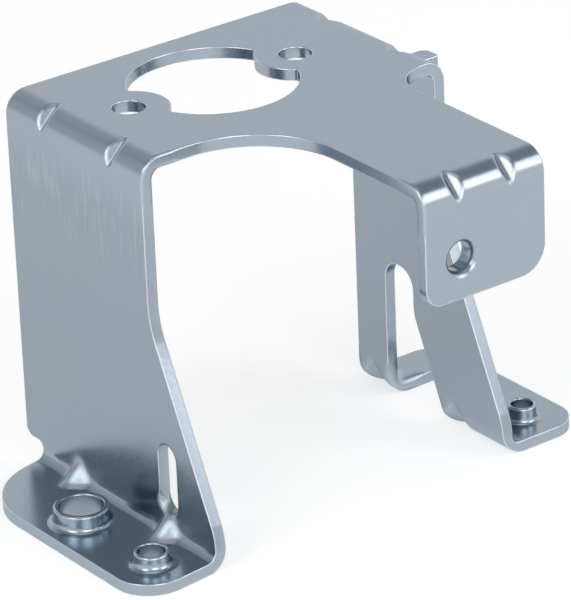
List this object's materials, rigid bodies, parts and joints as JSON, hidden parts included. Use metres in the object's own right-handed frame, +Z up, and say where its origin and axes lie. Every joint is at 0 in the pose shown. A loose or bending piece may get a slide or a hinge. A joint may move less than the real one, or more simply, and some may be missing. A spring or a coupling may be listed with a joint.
{
  "type": "stamped metal bracket",
  "caption": "Bridge-shaped bracket folded from steel sheet: flanged legs, round opening with bolt ears, and an arm ending in a drilled tab.",
  "frame": {"origin": "centre of the round opening, midway between the bolt holes, on the top face of the top plate", "axes": "+X from the left leg to the right leg through both bolt holes, +Y to the rear, +Z up, out of the top face"},
  "size_m": [0.1141, 0.0942, 0.0825],
  "materials": {
    "zinc_plated_steel": "satin bright zinc plating"
  },
  "bodies": {
    "root": {"bracket": "zinc_plated_steel"}
  },
  "joints": []
}
